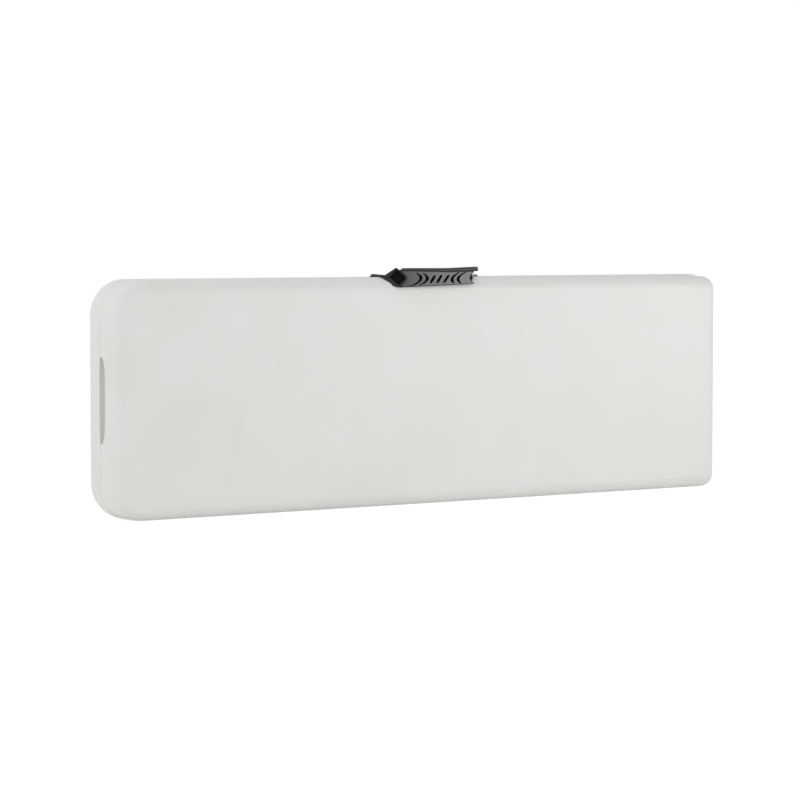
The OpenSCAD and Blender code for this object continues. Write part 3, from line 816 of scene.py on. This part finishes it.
FILL_LEVEL = "#E8E8E8"     # light from the sides of the room
FILL_ABOVE = "#A4A4A4"     # and from above
FLOOR_SIZE = 16
FLOOR_GAP = 0.4 * MM       # the floor lies just under the bench, so that no faces coincide
FLOOR_LIFT = 0.08          # what the floor glows by itself
FLOOR_LIFT_SEEN = 0.54     # and what is added where a ray shows it, to join the white backdrop
BENCH_MIDDLE = Vector((0, 0, 0.14))
# Each lamp: turn and rise in degrees, how far away, width, height and radiance
LAMPS = {
    "key_softbox": (41.5, 3.3, 2.8, 1.04, 0.6, 9.0),
    "end_softbox": (-85, 20, 3.0, 1.2, 1.2, 1.9),
    "corner_softbox": (-55, 5, 3.0, 0.3, 1.2, 8.0),
    "top_softbox": (-105, 58, 1.5, 0.5, 0.5, 4.0),
}


def ray_that_shows(tree):
    """1 for rays that show the room, straight or in a shine, and 0 for those that light."""
    path = add_node(tree, "ShaderNodeLightPath")
    shown = add_node(tree, "ShaderNodeMath", {"operation": "MAXIMUM"},
                     {0: path.outputs["Is Camera Ray"], 1: path.outputs["Is Glossy Ray"]})
    return add_node(tree, "ShaderNodeMath", {"operation": "MAXIMUM"},
                    {0: shown.outputs[0], 1: path.outputs["Is Transmission Ray"]}).outputs[0]


def white_room():
    """Rays that show the room see plain white; the light that it gives is a plain pale fill."""
    world = bpy.data.worlds.new("white_room")
    bpy.context.scene.world = world
    world.use_nodes = True
    tree = world.node_tree
    tree.nodes.clear()
    way = add_node(tree, "ShaderNodeTexCoord").outputs["Generated"]
    height = add_node(tree, "ShaderNodeSeparateXYZ", links={"Vector": way}).outputs["Z"]
    fill = colour_by(tree, height, FILL_LEVEL, FILL_ABOVE)
    colour = add_node(tree, "ShaderNodeMixRGB", {"Color2": (1, 1, 1, 1)},
                      {"Fac": ray_that_shows(tree), "Color1": fill})
    light = add_node(tree, "ShaderNodeBackground", links={"Color": colour.outputs["Color"]})
    add_node(tree, "ShaderNodeOutputWorld", links={"Surface": light.outputs["Background"]})


def white_floor():
    """A pale floor that keeps a faint shadow and joins the white backdrop."""
    bpy.ops.object.select_all(action="DESELECT")
    bpy.ops.mesh.primitive_plane_add(size=FLOOR_SIZE, location=(0, 0, -FLOOR_GAP))
    floor = bpy.context.object
    floor.name = "studio_floor"
    finish, tree, place = new_finish("white_studio_floor")
    lift = add_node(tree, "ShaderNodeMath",
                    {"operation": "MULTIPLY_ADD", 1: FLOOR_LIFT_SEEN, 2: FLOOR_LIFT},
                    {0: ray_that_shows(tree)})
    grit = noise(tree, place, 2.5 * MM, 2.0)
    finish_settings = {"Roughness": 0.9, "Emission Color": (1, 1, 1, 1), "Specular IOR Level": 0.0}
    close_finish(tree, finish_settings, {
        "Base Color": colour_by(tree, grit, "#F1F1F0", "#F4F4F3"),
        "Emission Strength": lift.outputs[0],
    })
    give_finish(floor, finish)


def softbox(name, turn, rise, away, width, height, radiance):
    """A soft lamp that looks at the bench from a turn right of straight in front."""
    turn, rise = math.radians(turn), math.radians(rise)
    flat = math.cos(rise)
    back = Vector((math.sin(turn) * flat, -math.cos(turn) * flat, math.sin(rise)))
    lamp = bpy.data.lights.new(name, "AREA")
    lamp.shape = "RECTANGLE"
    lamp.size, lamp.size_y = width, height
    lamp.energy = radiance * math.pi * width * height
    holder = bpy.data.objects.new(name, lamp)
    bpy.context.scene.collection.objects.link(holder)
    holder.location = BENCH_MIDDLE + back * away
    holder.rotation_euler = (-back).to_track_quat("-Z", "Y").to_euler()


white_room()
white_floor()
for lamp_name, measures in LAMPS.items():
    softbox(lamp_name, *measures)

bpy.context.scene.view_settings.view_transform = "Standard"


# ---- Where each thing shows in the image ----

def shown_corners(piece):
    return [shown_at(piece.matrix_world @ v.co) for v in piece.data.vertices]


def on_grip(x, z):
    return Vector((x, GRIP_FRONT + bowed(x), z))


NOTCH_SHOWN_Y = -4.5 * MM     # the middle of the finger slot, most of it in the front half


def write_points():
    shells = shown_corners(front_shell) + shown_corners(rear_shell)
    grip = shown_corners(handle)
    found = {
        "bench_left_x": min(s[0] for s in shells),
        "bench_right_x": max(s[0] for s in shells),
        "handle_top_y": min(s[1] for s in grip),
        "bench_bottom_y": max(s[1] for s in shells),
        "finger_notch": shown_at(Vector((OUTER_X, NOTCH_SHOWN_Y, NOTCH_MID))),
        "grip_end_notch": shown_at(Vector((END_NOTCH[0] * MM, GRIP_FRONT, END_NOTCH[1] * MM))),
        "first_grip_slot": shown_at(on_grip(*slot_line(SLOT_ROW[0], slot_row, 0))),
        "last_grip_slot": shown_at(on_grip(*slot_line(SLOT_ROW[-1], slot_row, 0))),
        "grip_right_tip": max(grip),
        "left_arm_tip": min(spot for spot, v in zip(grip, handle.data.vertices)
                            if v.co.z > SEAT_W),
    }
    for name, spot in found.items():
        if name.endswith("_x"):
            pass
        elif name.endswith("_y"):
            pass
        else:
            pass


bpy.context.view_layer.update()
write_points()
